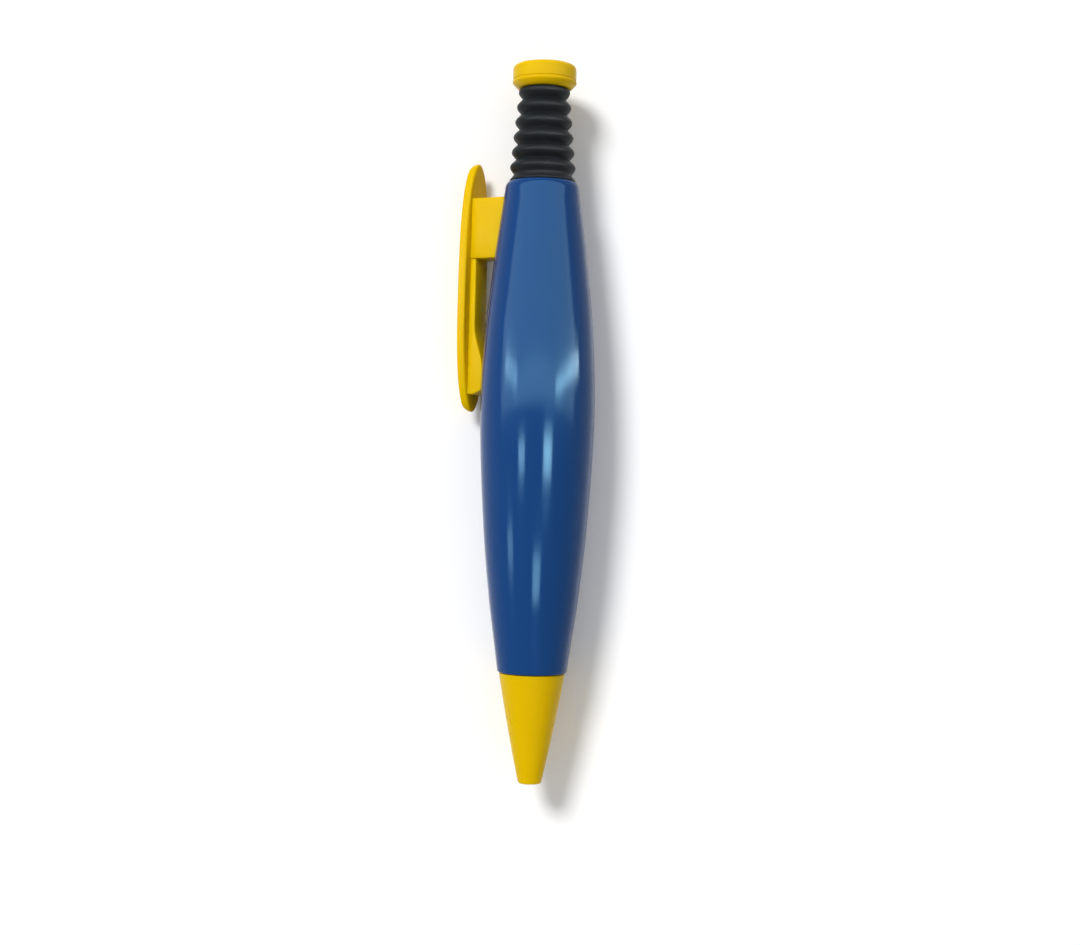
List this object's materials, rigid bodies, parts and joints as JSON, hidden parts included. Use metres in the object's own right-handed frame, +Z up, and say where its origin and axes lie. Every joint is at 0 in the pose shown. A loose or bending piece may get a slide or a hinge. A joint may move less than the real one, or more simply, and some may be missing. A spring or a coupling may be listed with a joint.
{
  "type": "ballpoint pen",
  "caption": "Push-button ballpoint pen with a swelling barrel, screw-on nose cone, snap-in pocket clip, ribbed rubber bellows under the button and a click mechanism that moves the refill.",
  "frame": {"origin": "centre of the bounding box's lowest face, on the table that the pen lies on", "axes": "+Z up, +Y along the pen from the nose towards the button; the clip is on the -X side, its lower edge on the table"},
  "size_m": [0.028, 0.1432, 0.0229],
  "materials": {
    "barrel": "glossy blue",
    "trim": "glossy yellow",
    "bellows": "satin black",
    "mechanism": "natural white",
    "cam": "black",
    "refill": "drawn tube",
    "plug": "natural white",
    "point": "turned",
    "ball": "polished",
    "spring": "bright wire"
  },
  "bodies": {
    "barrel": {"barrel": "barrel", "clip": "trim", "cam_guide": "mechanism", "bellows": "bellows"},
    "plunger": {"button_cap": "trim", "push_rod": "mechanism"},
    "refill": {"refill_tube": "refill", "refill_plug": "plug", "point_holder": "point", "rotary_cam": "cam"},
    "ball": {"writing_ball": "ball"},
    "nose_carrier": {"return_spring": "spring"},
    "nose": {"nose_cone": "trim"}
  },
  "joints": [
    {"name": "button_press", "type": "slide", "parent": "barrel", "child": "plunger", "axis": [0, -1, 0], "range_m": [0, 0.0075], "stiffness_N_per_m": 250, "springref_m": -0.008, "deforming": ["bellows"]},
    {"name": "refill_advance", "type": "slide", "parent": "barrel", "child": "refill", "axis": [0, -1, 0], "range_m": [0, 0.0075], "deforming": ["return_spring"]},
    {"name": "ball_roll", "type": "hinge", "parent": "refill", "child": "ball", "pos_m": [0.00259, -0.0676, 0.01145], "axis": [1, 0, 0], "continuous": true},
    {"name": "nose_travel", "type": "slide", "parent": "barrel", "child": "nose_carrier", "axis": [0, -1, 0], "range_m": [0, 0.006]},
    {"name": "nose_turn", "type": "hinge", "parent": "nose_carrier", "child": "nose", "pos_m": [0.00259, -0.0494, 0.01145], "axis": [0, -1, 0], "range_deg": [0, 2160]}
  ],
  "couplings": [
    {"joint": "refill_advance", "follows": "button_press", "ratio": 1},
    {"joint": "nose_turn", "follows": "nose_travel", "rad_per_m": 6283.1}
  ]
}
